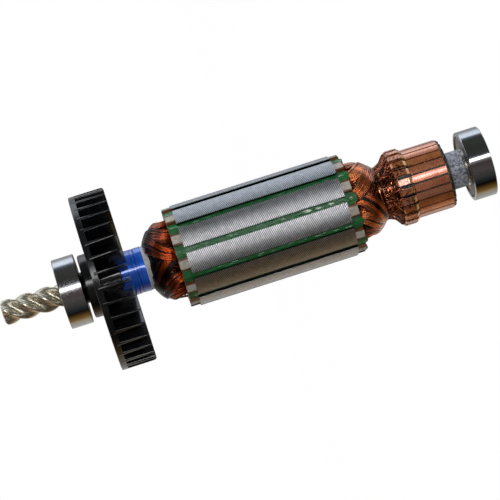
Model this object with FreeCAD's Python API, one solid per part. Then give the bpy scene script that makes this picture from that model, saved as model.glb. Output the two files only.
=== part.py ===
import FreeCAD, Part
import math
import os

# Motor armature, standing on the outer ring of its commutator bearing.
# Millimetres. The shaft lies along +Z, the pinion points up, and Z = 0 is the lower face of the
# commutator bearing. Every height is worked out from the chain of lengths below.

Vector = FreeCAD.Vector
AXIS = Vector(0, 0, 1)

# Bearings: 8 mm bore, 22 mm outside, 7 mm wide
BEARING_BORE_R = 4.0
BEARING_R = 11.0
BEARING_WIDTH = 7.0
BEARING_EDGE = 0.3
BALL_R = 1.984
BALL_COUNT = 7
BALL_PITCH_R = 7.5
BALL_CLEARANCE = 0.04
RACEWAY_R = 2.1
CUT_OVERSHOOT = 1.0
INNER_LAND_R = 6.0
OUTER_LAND_R = 9.0
CAGE_WALL = 0.7
CAGE_WEB = 0.4
POCKET_CLEARANCE = 0.06
SHIELD_SEAT_R = 9.9
SHIELD_THICKNESS = 0.3
SHIELD_DEPTH = 0.35
SHIELD_DISH = 0.15
SHIELD_SLOPE = 0.4
SHIELD_GAP = 0.2

# Lengths along the shaft, from the commutator bearing up
TUBE_GAP = 0.5
TUBE_TAIL = 5.55
FRONT_RING_LENGTH = 1.1
BAR_LENGTH = 16.15
BACK_RING_LENGTH = 0.1
COMMUTATOR_HEAD_LENGTH = 13.8
COMMUTATOR_PLATE = 2.8
CORE_LENGTH = 50.8
DRIVE_PLATE = 2.9
DRIVE_HEAD_LENGTH = 8.8
TUBE_NECK = 1.05
SLEEVE_LENGTH = 7.65
FAN_HUB_LENGTH = 6.6
FAN_DISC = 2.0
FAN_COLLAR_LENGTH = 2.9
SHAFT_BOSS = 0.9
PINION_LENGTH = 18.7
SHAFT_END_RECESS = 0.4

# Shaft and pinion
SHAFT_R = 4.9
SHAFT_CHAMFER = 0.5
PINION_TEETH = 4
PINION_TIP_R = 3.9
PINION_ROOT_R = 2.4
PINION_LAND = 0.5
PINION_FLANK_R = 3.05
PINION_FLANK_SHARE = 0.45
PINION_LEAD = 24.8
PINION_CREST_HEIGHT = 148.45
PINION_CREST_ANGLE = -90.0
PINION_END_R = 2.7
PINION_END_ROUND = 1.1
PINION_RUNOUT = 0.6
PINION_CAP_CLEARANCE = 0.08
PINION_END_FULLNESS = 0.22

# Shaft insulation tube and blue sleeve
TUBE_R = 6.9
TUBE_TAIL_R = 5.87
TUBE_TAIL_ROUND = 0.4
SLEEVE_WALL = 0.2

# Fan
FAN_R = 27.7
FAN_HUB_R = 8.5
FAN_COLLAR_R = 10.0
FAN_COLLAR_ROUND = 0.6
CORNER_MIDDLE = 0.3
BLADE_COUNT = 36
BLADE_LENGTH = 9.2
BLADE_ROOT = 1.3
BLADE_TIP = 0.45
BLADE_INNER_R = 14.0
BLADE_CORNER = 0.8
BLADE_ANGLE = -93.9

# Core
CORE_R = 16.0
SLOT_COUNT = 12
SLOT_ANGLE = -84.5
SLOT_OPENING = 2.0
TOOTH_TIP = 1.05
SLOT_TOP_WIDTH = 4.9
SLOT_BOTTOM_R = 9.2
SLOT_BOTTOM_WIDTH = 2.2
LINER = 0.3
CUFF = 0.2
CUFF_RISE = 0.45
PLATE_SETBACK = 0.4
WEDGE_THICKNESS = 1.3
WEDGE_CLEARANCE = 0.05
WEDGE_CROWN = 0.35
WEDGE_PROUD = 0.8

# Winding heads
DRIVE_FOOT_DROP = 1.05
DRIVE_SHOULDER_DROP = 1.0
DRIVE_SHOULDER_HEIGHT = 5.0
DRIVE_TOP_R = 8.2
DRIVE_TOP_ROUND = 0.4
REAR_FOOT_DROP = 0.85
REAR_SHOULDER_DROP = 1.1
REAR_SHOULDER_HEIGHT = 4.6
REAR_NECK_R = 8.1
REAR_NECK_HEIGHT = 9.6
LEAD_R = 11.4
LEAD_SAG = 0.5
BUNDLE_R = 1.5
BUNDLE_SINK = 0.7
BUNDLE_TURN = 60.0
BUNDLE_STATIONS = (0.1, 0.35, 0.6, 0.82)

# Commutator
BAR_COUNT = 24
BAR_R = 10.92
BAR_INNER_R = 8.3
BAR_GAP = 0.6
BAR_ANGLE = -92.1
UNDERCUT = 0.8
FRONT_RING_R = 10.6
FRONT_RING_ROUND = 0.9
RIDGE_HEIGHT = 0.15
HOOK_R = 12.0
HOOK_LENGTH = 4.9
HOOK_WIDTH = 1.8
HOOK_STOCK = 0.55
HOOK_SINK = 0.4
HOOK_BEND = 0.5
HOOK_SLOPE = 0.9
HOOK_TIP = 0.3
HOOK_EYE_DEPTH = 1.15

# Heights worked out from the lengths
Z_TUBE = BEARING_WIDTH + TUBE_GAP
Z_FRONT_RING = Z_TUBE + TUBE_TAIL
Z_BARS = Z_FRONT_RING + FRONT_RING_LENGTH
Z_BARS_END = Z_BARS + BAR_LENGTH
Z_REAR_HEAD = Z_BARS_END + BACK_RING_LENGTH
Z_REAR_PLATE = Z_REAR_HEAD + COMMUTATOR_HEAD_LENGTH
Z_CORE = Z_REAR_PLATE + COMMUTATOR_PLATE
Z_CORE_END = Z_CORE + CORE_LENGTH
Z_DRIVE_HEAD = Z_CORE_END + DRIVE_PLATE
Z_NECK = Z_DRIVE_HEAD + DRIVE_HEAD_LENGTH
Z_SLEEVE = Z_NECK + TUBE_NECK
Z_HUB = Z_SLEEVE + SLEEVE_LENGTH
Z_DISC = Z_HUB + FAN_HUB_LENGTH
Z_COLLAR = Z_DISC + FAN_DISC
Z_BOSS = Z_COLLAR + FAN_COLLAR_LENGTH
Z_DRIVE_BEARING = Z_BOSS + SHAFT_BOSS
Z_PINION = Z_DRIVE_BEARING + BEARING_WIDTH
Z_TIP = Z_PINION + PINION_LENGTH

BAR_PITCH = 360.0 / BAR_COUNT
SLOT_TOP_R = CORE_R - TOOTH_TIP
SLOT_CENTRE_R = SLOT_BOTTOM_R + SLOT_BOTTOM_WIDTH / 2
WEDGE_BOTTOM_R = SLOT_TOP_R - WEDGE_THICKNESS
CUFF_R = SLOT_TOP_R + CUFF_RISE
PLATE_R = CORE_R - PLATE_SETBACK
DRIVE_FOOT_R = WEDGE_BOTTOM_R - DRIVE_FOOT_DROP
DRIVE_SHOULDER_R = DRIVE_FOOT_R - DRIVE_SHOULDER_DROP
REAR_FOOT_R = WEDGE_BOTTOM_R - REAR_FOOT_DROP
REAR_SHOULDER_R = REAR_FOOT_R - REAR_SHOULDER_DROP


def save(name, shape):
    """Write one sub-part to its own file."""
    shape.exportStep(f"parts/{name}.step")


def ring(points):
    """Solid of revolution about Z from (radius, height) corners."""
    corners = [Vector(r, 0, z) for r, z in points]
    face = Part.Face(Part.makePolygon(corners + corners[:1]))
    return face.revolve(Vector(0, 0, 0), AXIS, 360)


def spun(edges):
    """Solid of revolution about Z from a closed run of edges in the XZ plane."""
    face = Part.Face(Part.Wire(edges))
    return face.revolve(Vector(0, 0, 0), AXIS, 360)


def line(start, end):
    """Straight edge between two (radius, height) points in the XZ plane."""
    return Part.makeLine(Vector(start[0], 0, start[1]), Vector(end[0], 0, end[1]))


def curve(points):
    """Smooth edge through (radius, height) points in the XZ plane."""
    spline = Part.BSplineCurve()
    spline.interpolate([Vector(r, 0, z) for r, z in points])
    return spline.toShape()


def turned(shape, angle):
    """Copy of a shape turned about Z by an angle in degrees."""
    copy = shape.copy()
    copy.rotate(Vector(0, 0, 0), AXIS, angle)
    return copy


def around(shape, count, start):
    """Copies of a shape spaced evenly about Z, the first at the start angle."""
    return [turned(shape, start + i * 360.0 / count) for i in range(count)]


def rounded_ring(inner_r, outer_r, low, high, edge):
    """Plain ring whose two outer corners are rounded."""
    body = ring([(inner_r, low), (outer_r, low), (outer_r, high), (inner_r, high)])
    rims = [e for e in body.Edges if abs(e.BoundBox.XMax - outer_r) < 1e-6 and e.BoundBox.ZLength < 1e-6]
    return body.makeFillet(edge, rims)


# Shaft and pinion

def polar(radius, degrees, height):
    """Point at a radius and an angle about Z."""
    turn = math.radians(degrees)
    return Vector(radius * math.cos(turn), radius * math.sin(turn), height)


def pinion_section(height):
    """Outline of the pinion at a height: narrow tooth lands with a hollow between each two."""
    pitch = 360.0 / PINION_TEETH
    half_land = math.degrees(PINION_LAND / 2 / PINION_TIP_R)
    flank = half_land + (pitch / 2 - half_land) * PINION_FLANK_SHARE
    first = PINION_CREST_ANGLE + (height - PINION_CREST_HEIGHT) * 360.0 / PINION_LEAD
    edges = []
    for i in range(PINION_TEETH):
        crest = first + i * pitch
        lead_in = polar(PINION_TIP_R, crest - half_land, height)
        lead_out = polar(PINION_TIP_R, crest + half_land, height)
        edges.append(Part.Arc(lead_in, polar(PINION_TIP_R, crest, height), lead_out).toShape())
        hollow = Part.BSplineCurve()
        hollow.interpolate([lead_out, polar(PINION_FLANK_R, crest + flank, height),
                            polar(PINION_ROOT_R, crest + pitch / 2, height),
                            polar(PINION_FLANK_R, crest + pitch - flank, height),
                            polar(PINION_TIP_R, crest + pitch - half_land, height)])
        edges.append(hollow.toShape())
    return Part.Wire(edges)


def pinion():
    """Helical pinion with its rounded free end and its run-out to the bearing seat."""
    low = Z_PINION - PINION_RUNOUT
    spine = Part.Wire(Part.makeLine(Vector(0, 0, low), Vector(0, 0, Z_TIP)))
    helix = Part.makeHelix(PINION_LEAD, Z_TIP - low, PINION_TIP_R)
    helix.translate(Vector(0, 0, low))
    sweep = Part.BRepOffsetAPI.MakePipeShell(spine)
    sweep.setAuxiliarySpine(Part.Wire(helix.Edges), True, 0)
    sweep.add(pinion_section(low))
    sweep.build()
    sweep.makeSolid()
    outer = PINION_TIP_R + PINION_CAP_CLEARANCE
    shoulder = Z_TIP - PINION_END_ROUND
    middle = ((outer + PINION_END_R) / 2 + PINION_END_FULLNESS, (shoulder + Z_TIP) / 2 + PINION_END_FULLNESS)
    side = curve([(outer, shoulder), middle, (PINION_END_R, Z_TIP)])
    cap = spun([line((0, low), (outer, low)), line((outer, low), (outer, shoulder)), side,
                line((PINION_END_R, Z_TIP), (0, Z_TIP)), line((0, Z_TIP), (0, low))])
    return sweep.shape().common(cap)


def shaft():
    """The turned shaft: two bearing seats, the thick middle, and the pinion cut in its end."""
    low = SHAFT_END_RECESS
    seat = BEARING_BORE_R
    top = Z_PINION - PINION_RUNOUT
    bar = ring([(0, low), (seat - SHAFT_CHAMFER, low), (seat, low + SHAFT_CHAMFER),
                (seat, BEARING_WIDTH), (SHAFT_R, BEARING_WIDTH), (SHAFT_R, Z_DRIVE_BEARING),
                (seat, Z_DRIVE_BEARING), (seat, top), (0, top)])
    return bar.fuse(pinion())


# Insulation on the shaft

def insulation_tube():
    """Moulded tube on the shaft, thick through the core and thinner under the commutator."""
    return ring([(SHAFT_R, Z_TUBE), (TUBE_TAIL_R - TUBE_TAIL_ROUND, Z_TUBE),
                 (TUBE_TAIL_R, Z_TUBE + TUBE_TAIL_ROUND), (TUBE_TAIL_R, Z_REAR_HEAD),
                 (TUBE_R, Z_REAR_HEAD), (TUBE_R, Z_HUB), (SHAFT_R, Z_HUB)])


def sleeve():
    """Thin blue sleeve over the tube, between the drive head and the fan."""
    outer = TUBE_R + SLEEVE_WALL
    return ring([(TUBE_R, Z_SLEEVE), (outer, Z_SLEEVE), (outer, Z_HUB), (TUBE_R, Z_HUB)])


# Fan

def fan_blade():
    """One straight radial blade, thick at the disc and thin at its free end."""
    tip = Z_DISC - BLADE_LENGTH
    root = Z_DISC + FAN_DISC / 2
    outline = [(-BLADE_ROOT / 2, root), (BLADE_ROOT / 2, root), (BLADE_ROOT / 2, Z_DISC),
               (BLADE_TIP / 2, tip), (-BLADE_TIP / 2, tip), (-BLADE_ROOT / 2, Z_DISC)]
    corners = [Vector(BLADE_INNER_R, y, z) for y, z in outline]
    face = Part.Face(Part.makePolygon(corners + corners[:1]))
    return face.extrude(Vector(FAN_R - BLADE_INNER_R + CUT_OVERSHOOT, 0, 0))


def fan():
    """Fan moulding: disc, hub, collar and blades in one piece."""
    tip = Z_DISC - BLADE_LENGTH
    body = ring([(SHAFT_R, Z_HUB), (FAN_HUB_R, Z_HUB), (FAN_HUB_R, Z_DISC), (FAN_R, Z_DISC),
                 (FAN_R, Z_COLLAR), (FAN_COLLAR_R, Z_COLLAR),
                 (FAN_COLLAR_R, Z_BOSS - FAN_COLLAR_ROUND),
                 (FAN_COLLAR_R - FAN_COLLAR_ROUND, Z_BOSS), (SHAFT_R, Z_BOSS)])
    envelope = ring([(BLADE_INNER_R, tip), (FAN_R - BLADE_CORNER, tip),
                     (FAN_R - BLADE_CORNER * CORNER_MIDDLE, tip + BLADE_CORNER * CORNER_MIDDLE),
                     (FAN_R, tip + BLADE_CORNER), (FAN_R, Z_COLLAR), (BLADE_INNER_R, Z_COLLAR)])
    blade = fan_blade().common(envelope)
    return body.multiFuse(around(blade, BLADE_COUNT, BLADE_ANGLE)).removeSplitter()


# Core, slots and what lies in them

def slot_half_width(radius, inset):
    """Half of the slot's width at a radius, less an inset from its wall."""
    slope = (SLOT_TOP_WIDTH - SLOT_BOTTOM_WIDTH) / 2 / (SLOT_TOP_R - SLOT_CENTRE_R)
    return SLOT_BOTTOM_WIDTH / 2 + (radius - SLOT_CENTRE_R) * slope - inset


def slot_prism(inset, top_r, low, high):
    """Prism along the slot on +X: round bottom, slanted sides, flat top at top_r."""
    bottom = slot_half_width(SLOT_CENTRE_R, inset)
    top = slot_half_width(top_r, inset)
    start = Vector(SLOT_CENTRE_R, bottom, low)
    middle = Vector(SLOT_CENTRE_R - bottom, 0, low)
    end = Vector(SLOT_CENTRE_R, -bottom, low)
    corner_low = Vector(top_r, -top, low)
    corner_high = Vector(top_r, top, low)
    outline = [Part.Arc(start, middle, end).toShape(), Part.makeLine(end, corner_low),
               Part.makeLine(corner_low, corner_high), Part.makeLine(corner_high, start)]
    return Part.Face(Part.Wire(outline)).extrude(Vector(0, 0, high - low))


def core():
    """Stack of punched steel sheets with its slots, one solid."""
    body = ring([(TUBE_R, Z_CORE), (CORE_R, Z_CORE), (CORE_R, Z_CORE_END), (TUBE_R, Z_CORE_END)])
    mouth = Part.makeBox(CORE_R - SLOT_TOP_R + 2 * CUT_OVERSHOOT, SLOT_OPENING, CORE_LENGTH,
                         Vector(SLOT_TOP_R - CUT_OVERSHOOT, -SLOT_OPENING / 2, Z_CORE))
    slot = slot_prism(0, SLOT_TOP_R, Z_CORE, Z_CORE_END).fuse(mouth).removeSplitter()
    return body.cut(Part.Compound(around(slot, SLOT_COUNT, SLOT_ANGLE)))


def end_plate(low, high):
    """Insulating plate on one end of the core, with one tab on each tooth."""
    body = ring([(TUBE_R, low), (PLATE_R, low), (PLATE_R, high), (TUBE_R, high)])
    gap = slot_prism(-CUFF, PLATE_R + CUT_OVERSHOOT, low, high)
    return body.cut(Part.Compound(around(gap, SLOT_COUNT, SLOT_ANGLE)))


def slot_liner():
    """Folded paper strip round one slot, with a thicker cuff outside each end of the core."""
    strip = slot_prism(0, SLOT_TOP_R, Z_CORE, Z_CORE_END)
    rear_cuff = slot_prism(-CUFF, CUFF_R, Z_REAR_PLATE, Z_CORE)
    drive_cuff = slot_prism(-CUFF, CUFF_R, Z_CORE_END, Z_DRIVE_HEAD)
    inside = slot_prism(LINER, CUFF_R + CUT_OVERSHOOT, Z_REAR_PLATE, Z_DRIVE_HEAD)
    return strip.multiFuse([rear_cuff, drive_cuff]).cut(inside)


def slot_conductor():
    """Bundle of wire in one slot, from the one winding head to the other."""
    return slot_prism(LINER, WEDGE_BOTTOM_R, Z_REAR_PLATE, Z_DRIVE_HEAD)


def slot_wedge():
    """Crowned strip that closes one slot under the tooth tips, with a half-round commutator end."""
    inset = LINER + WEDGE_CLEARANCE
    low = Z_REAR_PLATE - WEDGE_PROUD
    high = Z_DRIVE_HEAD
    shoulder_r = SLOT_TOP_R - WEDGE_CROWN
    bottom = slot_half_width(WEDGE_BOTTOM_R, inset)
    top = slot_half_width(shoulder_r, inset)
    back = Part.Arc(Vector(shoulder_r, -top, low), Vector(SLOT_TOP_R, 0, low), Vector(shoulder_r, top, low))
    under_low = Vector(WEDGE_BOTTOM_R, -bottom, low)
    under_high = Vector(WEDGE_BOTTOM_R, bottom, low)
    outline = [back.toShape(), Part.makeLine(Vector(shoulder_r, top, low), under_high),
               Part.makeLine(under_high, under_low), Part.makeLine(under_low, Vector(shoulder_r, -top, low))]
    strip = Part.Face(Part.Wire(outline)).extrude(Vector(0, 0, high - low))
    nose = Part.makeCylinder(top, SLOT_TOP_R, Vector(0, 0, low + top), Vector(1, 0, 0))
    rest = Part.makeBox(SLOT_TOP_R, 2 * top, high - low - top, Vector(0, -top, low + top))
    return strip.common(nose.fuse(rest))


# Winding heads

def bundle(dome, turn):
    """Bundle of wire that climbs a dome from its foot, following the dome's outline."""
    first, last = dome.ParameterRange
    stations = []
    for share in BUNDLE_STATIONS:
        point = dome.valueAt(first + (last - first) * share)
        angle = math.radians(turn * share)
        radius = point.x - BUNDLE_SINK
        stations.append(Vector(radius * math.cos(angle), radius * math.sin(angle), point.z))
    pieces = [Part.makeSphere(BUNDLE_R, station) for station in stations]
    for start, end in zip(stations, stations[1:]):
        run = end - start
        pieces.append(Part.makeCylinder(BUNDLE_R, run.Length, start, run))
    return pieces[0].multiFuse(pieces[1:])


def bundled(body, dome, turn, low, high):
    """A head with one bundle for each slot, trimmed to its own length and to the tube."""
    bundles = around(bundle(dome, turn), SLOT_COUNT, SLOT_ANGLE)
    room = ring([(TUBE_R, low), (CORE_R, low), (CORE_R, high), (TUBE_R, high)])
    return body.multiFuse(bundles).common(room)


def drive_head():
    """Winding head at the fan end: a dome of crossing wire bundles."""
    low = Z_DRIVE_HEAD
    top = Z_NECK
    dome = curve([(DRIVE_FOOT_R, low), (DRIVE_SHOULDER_R, low + DRIVE_SHOULDER_HEIGHT),
                  (DRIVE_TOP_R, top - DRIVE_TOP_ROUND)])
    edge = (DRIVE_TOP_R - DRIVE_TOP_ROUND, top)
    body = spun([dome, line((DRIVE_TOP_R, top - DRIVE_TOP_ROUND), edge), line(edge, (TUBE_R, top)),
                 line((TUBE_R, top), (TUBE_R, low)), line((TUBE_R, low), (DRIVE_FOOT_R, low))])
    return bundled(body, dome, BUNDLE_TURN, low, top)


def rear_head():
    """Winding head at the commutator end: dome, neck, and the leads that fan out to the hooks."""
    low = Z_REAR_HEAD
    top = Z_REAR_PLATE
    neck = (REAR_NECK_R, top - REAR_NECK_HEIGHT)
    dome = curve([(REAR_FOOT_R, top), (REAR_SHOULDER_R, top - REAR_SHOULDER_HEIGHT), neck])
    flare = curve([neck, ((REAR_NECK_R + LEAD_R) / 2 - LEAD_SAG, (neck[1] + low) / 2), (LEAD_R, low)])
    body = spun([dome, flare, line((LEAD_R, low), (TUBE_R, low)), line((TUBE_R, low), (TUBE_R, top)),
                 line((TUBE_R, top), (REAR_FOOT_R, top))])
    return bundled(body, dome, -BUNDLE_TURN, low, top)


# Commutator

def bar_hook():
    """Tang of one bar on +X, folded back over the place of its wire."""
    back = Z_BARS_END
    front = back - HOOK_LENGTH
    root = BAR_R - HOOK_SINK
    outline = [(root, back), (HOOK_R - HOOK_BEND, back), (HOOK_R, back - HOOK_BEND),
               (HOOK_R, front + HOOK_SLOPE), (BAR_R + HOOK_TIP, front), (root, front)]
    corners = [Vector(r, -HOOK_WIDTH / 2, z) for r, z in outline]
    body = Part.Face(Part.makePolygon(corners + corners[:1])).extrude(Vector(0, HOOK_WIDTH, 0))
    eye_r = (HOOK_R - HOOK_STOCK - BAR_R) / 2
    start = Vector(BAR_R + eye_r, -HOOK_WIDTH, back - HOOK_EYE_DEPTH)
    return body.cut(Part.makeCylinder(eye_r, 2 * HOOK_WIDTH, start, Vector(0, 1, 0)))


def bar_blank():
    """Wedge of copper for one bar on +X, without its hook."""
    half = BAR_PITCH / 2 - math.degrees(BAR_GAP / 2 / BAR_R)
    return ring_sector(BAR_INNER_R, BAR_R, half, Z_BARS, Z_BARS_END)


def ring_sector(inner_r, outer_r, half_angle, low, high):
    """Part of a ring about +X, between two radii and two heights."""
    outer = [polar(outer_r, turn, low) for turn in (-half_angle, 0, half_angle)]
    inner = [polar(inner_r, turn, low) for turn in (half_angle, 0, -half_angle)]
    outline = [Part.Arc(*outer).toShape(), Part.makeLine(outer[2], inner[0]),
               Part.Arc(*inner).toShape(), Part.makeLine(inner[2], outer[0])]
    return Part.Face(Part.Wire(outline)).extrude(Vector(0, 0, high - low))


def front_outline(proud):
    """Rounded outer side of the black front ring, moved outward by some height."""
    return [(FRONT_RING_R - FRONT_RING_ROUND, Z_FRONT_RING),
            (FRONT_RING_R - FRONT_RING_ROUND * CORNER_MIDDLE + proud,
             Z_FRONT_RING + FRONT_RING_ROUND * CORNER_MIDDLE - proud),
            (FRONT_RING_R + proud, Z_FRONT_RING + FRONT_RING_ROUND), (FRONT_RING_R + proud, Z_BARS)]


def ridge():
    """Small ridge on +X that carries on a groove between two bars over the front ring."""
    corners = [Vector(r, -BAR_GAP / 2, z) for r, z in front_outline(RIDGE_HEIGHT) + [(BAR_INNER_R, Z_BARS)]]
    return Part.Face(Part.makePolygon(corners + corners[:1])).extrude(Vector(0, BAR_GAP, 0))


def commutator_body(bars):
    """Black moulding that holds the bars, with a rib between each two of them."""
    rib_r = BAR_R - UNDERCUT
    body = ring([(TUBE_TAIL_R, Z_FRONT_RING)] + front_outline(0)
                + [(rib_r, Z_BARS), (rib_r, Z_REAR_HEAD), (TUBE_TAIL_R, Z_REAR_HEAD)])
    ridges = around(ridge(), BAR_COUNT, BAR_ANGLE)
    return body.multiFuse(ridges).cut(Part.Compound(bars)).removeSplitter()


# Bearings

def raceway(radius, middle):
    """Ring-shaped cutter that hollows the groove for the balls, about a height."""
    return Part.makeTorus(radius, RACEWAY_R, Vector(0, 0, middle), AXIS)


def bearing_outer_ring(low):
    """Outer ring with its raceway and a seat for a shield at each side."""
    high = low + BEARING_WIDTH
    depth = SHIELD_DEPTH + SHIELD_THICKNESS
    body = rounded_ring(OUTER_LAND_R, BEARING_R, low, high, BEARING_EDGE)
    inside = OUTER_LAND_R - CUT_OVERSHOOT
    seats = [ring([(inside, z), (SHIELD_SEAT_R, z), (SHIELD_SEAT_R, z + depth), (inside, z + depth)])
             for z in (low, high - depth)]
    groove_r = BALL_PITCH_R + BALL_R + BALL_CLEARANCE - RACEWAY_R
    return body.cut(Part.Compound(seats + [raceway(groove_r, low + BEARING_WIDTH / 2)]))


def bearing_inner_ring(low):
    """Inner ring with its raceway, pressed on the shaft."""
    high = low + BEARING_WIDTH
    body = rounded_ring(BEARING_BORE_R, INNER_LAND_R, low, high, BEARING_EDGE / 2)
    groove_r = BALL_PITCH_R - BALL_R - BALL_CLEARANCE + RACEWAY_R
    return body.cut(raceway(groove_r, low + BEARING_WIDTH / 2))


def bearing_balls(low):
    """The ring of balls, one group of separate solids."""
    ball = Part.makeSphere(BALL_R, Vector(BALL_PITCH_R, 0, low + BEARING_WIDTH / 2))
    return Part.Compound(around(ball, BALL_COUNT, 0))


def bearing_cage(low):
    """Ring that keeps the balls apart, with one round pocket for each."""
    middle = low + BEARING_WIDTH / 2
    pocket_r = BALL_R + POCKET_CLEARANCE
    half = pocket_r + CAGE_WEB
    inner = BALL_PITCH_R - CAGE_WALL / 2
    outer = BALL_PITCH_R + CAGE_WALL / 2
    body = ring([(inner, middle - half), (outer, middle - half), (outer, middle + half), (inner, middle + half)])
    pocket = Part.makeCylinder(pocket_r, CAGE_WALL + 2 * CUT_OVERSHOOT,
                               Vector(inner - CUT_OVERSHOOT, 0, middle), Vector(1, 0, 0))
    return body.cut(Part.Compound(around(pocket, BALL_COUNT, 0)))


def bearing_shield(face, inward):
    """Dished sheet ring in its seat; inward is +1 when the bearing lies above the face."""
    inner = INNER_LAND_R + SHIELD_GAP
    mid = (inner + SHIELD_SEAT_R) / 2
    top = face + inward * SHIELD_DEPTH
    under = top + inward * SHIELD_THICKNESS
    dish = inward * SHIELD_DISH
    foot = mid + SHIELD_SLOPE
    return ring([(inner, top - dish), (mid, top - dish), (foot, top), (SHIELD_SEAT_R, top),
                 (SHIELD_SEAT_R, under), (foot, under), (mid, under - dish), (inner, under - dish)])


def save_bearing(name, low):
    """Write the six pieces of one bearing whose lower face is at a height."""
    save(f"{name}_outer_ring", bearing_outer_ring(low))
    save(f"{name}_inner_ring", bearing_inner_ring(low))
    save(f"{name}_balls", bearing_balls(low))
    save(f"{name}_cage", bearing_cage(low))
    save(f"{name}_lower_shield", bearing_shield(low, 1))
    save(f"{name}_upper_shield", bearing_shield(low + BEARING_WIDTH, -1))


def main():
    """Build every piece and write its file."""
    os.makedirs("parts", exist_ok=True)
    save("shaft", shaft())
    save("shaft_insulation_tube", insulation_tube())
    save("sleeve", sleeve())
    save("fan", fan())
    save_bearing("drive_bearing", Z_DRIVE_BEARING)
    save_bearing("commutator_bearing", 0.0)
    save("core", core())
    save("drive_end_plate", end_plate(Z_CORE_END, Z_DRIVE_HEAD))
    save("commutator_end_plate", end_plate(Z_REAR_PLATE, Z_CORE))
    save("slot_liners", Part.Compound(around(slot_liner(), SLOT_COUNT, SLOT_ANGLE)))
    save("slot_conductors", Part.Compound(around(slot_conductor(), SLOT_COUNT, SLOT_ANGLE)))
    for i, wedge in enumerate(around(slot_wedge(), SLOT_COUNT, SLOT_ANGLE)):
        save(f"slot_wedge_{i + 1:02d}", wedge)
    save("drive_winding_head", drive_head())
    save("commutator_winding_head", rear_head())
    first_bar = BAR_ANGLE + BAR_PITCH / 2
    blanks = around(bar_blank(), BAR_COUNT, first_bar)
    save("commutator_body", commutator_body(blanks))
    bar = bar_blank().fuse(bar_hook()).removeSplitter()
    for i, shape in enumerate(around(bar, BAR_COUNT, first_bar)):
        save(f"commutator_bar_{i + 1:02d}", shape)


main()
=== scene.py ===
"""Looks of the motor armature: its finishes, windings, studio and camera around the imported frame."""
import logging
import math
import random
from dataclasses import dataclass
from enum import Enum

import bpy
import numpy as np
from mathutils import Matrix, Vector

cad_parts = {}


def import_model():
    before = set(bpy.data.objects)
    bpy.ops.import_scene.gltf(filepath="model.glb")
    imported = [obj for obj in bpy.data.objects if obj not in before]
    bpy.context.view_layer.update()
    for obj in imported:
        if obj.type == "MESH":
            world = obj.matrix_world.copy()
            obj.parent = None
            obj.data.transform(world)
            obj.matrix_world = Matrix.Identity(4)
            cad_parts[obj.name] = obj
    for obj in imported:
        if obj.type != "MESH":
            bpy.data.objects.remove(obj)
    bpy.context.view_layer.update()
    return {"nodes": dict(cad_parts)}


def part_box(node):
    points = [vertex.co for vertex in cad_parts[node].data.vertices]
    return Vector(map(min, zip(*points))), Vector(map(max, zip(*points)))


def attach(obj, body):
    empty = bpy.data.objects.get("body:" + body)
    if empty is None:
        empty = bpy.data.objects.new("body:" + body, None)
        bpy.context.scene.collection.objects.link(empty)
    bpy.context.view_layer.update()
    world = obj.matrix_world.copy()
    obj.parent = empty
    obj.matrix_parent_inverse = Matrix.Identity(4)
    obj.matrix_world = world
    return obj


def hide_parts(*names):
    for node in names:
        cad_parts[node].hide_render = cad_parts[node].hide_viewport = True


MM = 0.001
FULL_TURN = 2 * math.pi
# Range of a random phase, in radians: nearly a full turn
PHASES = (0, 6)
LOG = logging.getLogger("armature")

MATHS = "ShaderNodeMath"
MIX = "ShaderNodeMixRGB"
NOISE = "ShaderNodeTexNoise"
STRETCH = "ShaderNodeMapRange"

Tree = bpy.types.NodeTree
Feed = bpy.types.Node | bpy.types.NodeSocket
Material = bpy.types.Material
Piece = bpy.types.Object
Outline = list[tuple[float, float]]
Faces = list[tuple[int, ...]]


def srgb(code: str, strength: float = 1.0) -> tuple[float, float, float, float]:
    """Turn an sRGB hex code into a linear colour.

    Args:
        code: Colour such as "#a0522d".
        strength: How strongly the colour shines, where it is a light.

    Returns:
        Linear red, green and blue, and an alpha of 1.
    """
    def linear(value: float) -> float:
        """One channel from its sRGB value to its linear value."""
        return value / 12.92 if value <= 0.04045 else ((value + 0.055) / 1.055) ** 2.4

    red, green, blue = (strength * linear(int(code[i:i + 2], 16) / 255) for i in (1, 3, 5))
    return (red, green, blue, 1.0)


def add_node(tree: Tree, kind: str, settings: dict | None = None) -> bpy.types.Node:
    """Add a node with its settings and its incoming links.

    Args:
        tree: Node tree that takes the node.
        kind: Node type, such as "ShaderNodeMath".
        settings: By input name, input number or property name: a value, or the output or node that feeds it.

    Returns:
        The new node. Where a node feeds another, its first output is meant.
    """
    node = tree.nodes.new(kind)
    for key, value in (settings or {}).items():
        if isinstance(value, bpy.types.Node):
            value = value.outputs[0]
        if isinstance(value, bpy.types.NodeSocket):
            tree.links.new(value, node.inputs[key])
        elif isinstance(key, int) or key in node.inputs:
            node.inputs[key].default_value = value
        else:
            setattr(node, key, value)
    return node


def round_the_shaft(tree: Tree, where: Feed) -> tuple[Feed, Feed, Feed]:
    """Measure a point about the shaft's axis.

    Args:
        tree: Node tree that takes the nodes.
        where: The point.

    Returns:
        Its angle in radians, its height and its radius.
    """
    x, y, z = add_node(tree, "ShaderNodeSeparateXYZ", {0: where}).outputs
    angle = add_node(tree, MATHS, {0: y, 1: x, "operation": "ARCTAN2"})
    along = add_node(tree, MATHS, {0: y, 1: y, "operation": "MULTIPLY"})
    square = add_node(tree, MATHS, {0: x, 1: x, 2: along, "operation": "MULTIPLY_ADD"})
    return angle, z, add_node(tree, MATHS, {0: square, "operation": "SQRT"})


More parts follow.
